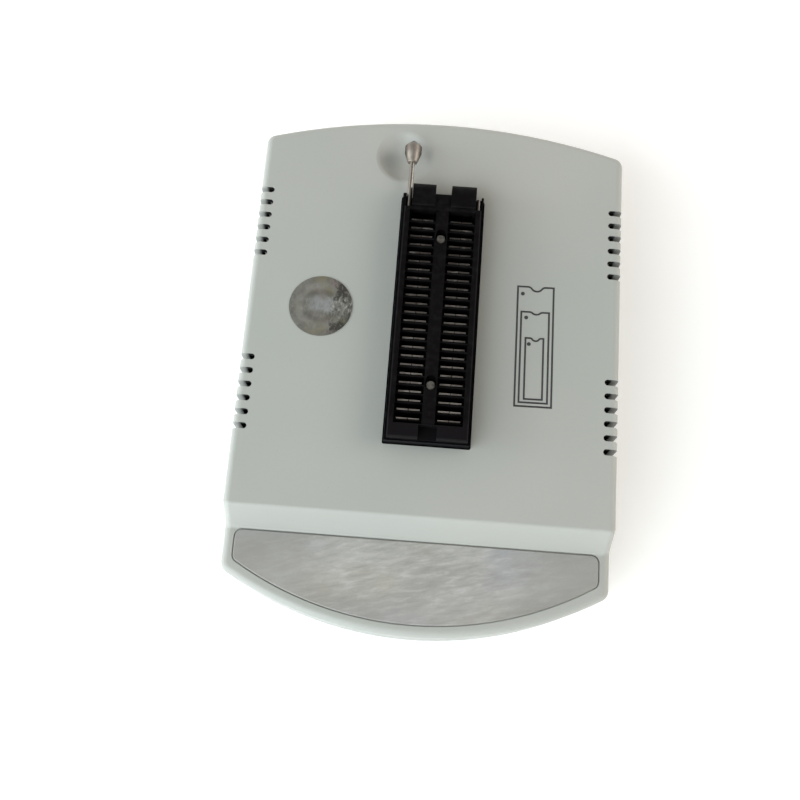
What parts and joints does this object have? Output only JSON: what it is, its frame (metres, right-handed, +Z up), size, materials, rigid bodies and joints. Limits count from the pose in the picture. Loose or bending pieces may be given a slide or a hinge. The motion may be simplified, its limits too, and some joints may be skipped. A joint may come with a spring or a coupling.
{
  "type": "usb microcontroller programmer",
  "caption": "Desktop chip programmer: pale bow-ended moulded case with a stepped front, vented sides and a black zero-insertion-force socket worked by a rear cam lever.",
  "frame": {"origin": "on the surface the feet stand on, below the middle of the case", "axes": "+Z up, +Y to the rear where the lever and the USB port are, +X to the right seen from the name plate"},
  "size_m": [0.1052, 0.1488, 0.037],
  "materials": {
    "case_plastic": "fine moulded texture, off-white",
    "plate_metal": "blank mottled brushed plate",
    "sticker_foil": "silver foil sticker, mottled",
    "print_ink": "black pad print",
    "foot_rubber": "matt",
    "screw_steel": "zinc plated",
    "board_laminate": "green solder mask",
    "standoff_brass": "nickel-free brass",
    "header_plastic": "matt black",
    "pin_gold": "gold flash",
    "usb_sheet": "bright nickel",
    "usb_plastic": "white",
    "chip_epoxy": "moulded epoxy",
    "lead_tin": "tinned",
    "can_aluminium": "satin can",
    "crystal_can": "satin nickel",
    "ferrite": "dark grey",
    "copper_winding": "enamelled copper",
    "resistor_ceramic": "black glaze",
    "capacitor_ceramic": "tan ceramic",
    "socket_plastic": "glass-filled, satin black",
    "contact_metal": "nickel-plated spring alloy",
    "rivet_metal": "satin",
    "rod_steel": "polished stainless",
    "knob_metal": "nickel-plated"
  },
  "bodies": {
    "case": {"top_shell": "case_plastic", "bottom_shell": "case_plastic", "rubber_feet": "foot_rubber", "case_screws": "screw_steel", "name_plate": "plate_metal", "round_sticker": "sticker_foil", "orientation_print": "print_ink", "main_board": "board_laminate", "socket_board": "board_laminate", "board_standoffs": "standoff_brass", "board_screws": "screw_steel", "header_sockets": "header_plastic", "header_strips": "header_plastic", "header_pins": "pin_gold", "usb_shell": "usb_sheet", "usb_insulator": "usb_plastic", "usb_contacts": "pin_gold", "microcontroller": "chip_epoxy", "microcontroller_leads": "lead_tin", "logic_array": "chip_epoxy", "logic_array_leads": "lead_tin", "pin_drivers": "chip_epoxy", "pin_driver_leads": "lead_tin", "capacitor_cans": "can_aluminium", "capacitor_wires": "lead_tin", "crystal": "crystal_can", "inductor_core": "ferrite", "inductor_winding": "copper_winding", "voltage_regulator": "chip_epoxy", "voltage_regulator_leads": "lead_tin", "chip_resistors": "resistor_ceramic", "chip_capacitors": "capacitor_ceramic", "zif_base": "socket_plastic", "zif_contacts_left": "contact_metal", "zif_contacts_right": "contact_metal", "zif_rivets": "rivet_metal"},
    "lever": {"cam_rod": "rod_steel", "lever_knob": "knob_metal"},
    "cover": {"zif_cover": "socket_plastic"}
  },
  "joints": [
    {"name": "lever_hinge", "type": "hinge", "parent": "case", "child": "lever", "pos_m": [0.0006, 0.0444, 0.0323], "axis": [1, 0, 0], "range_deg": [0, 90]},
    {"name": "cover_slide", "type": "slide", "parent": "case", "child": "cover", "axis": [0, -1, 0], "range_m": [0, 0.00127]}
  ],
  "couplings": [
    {"joint": "cover_slide", "follows": "lever_hinge", "m_per_rad": 0.000808}
  ]
}
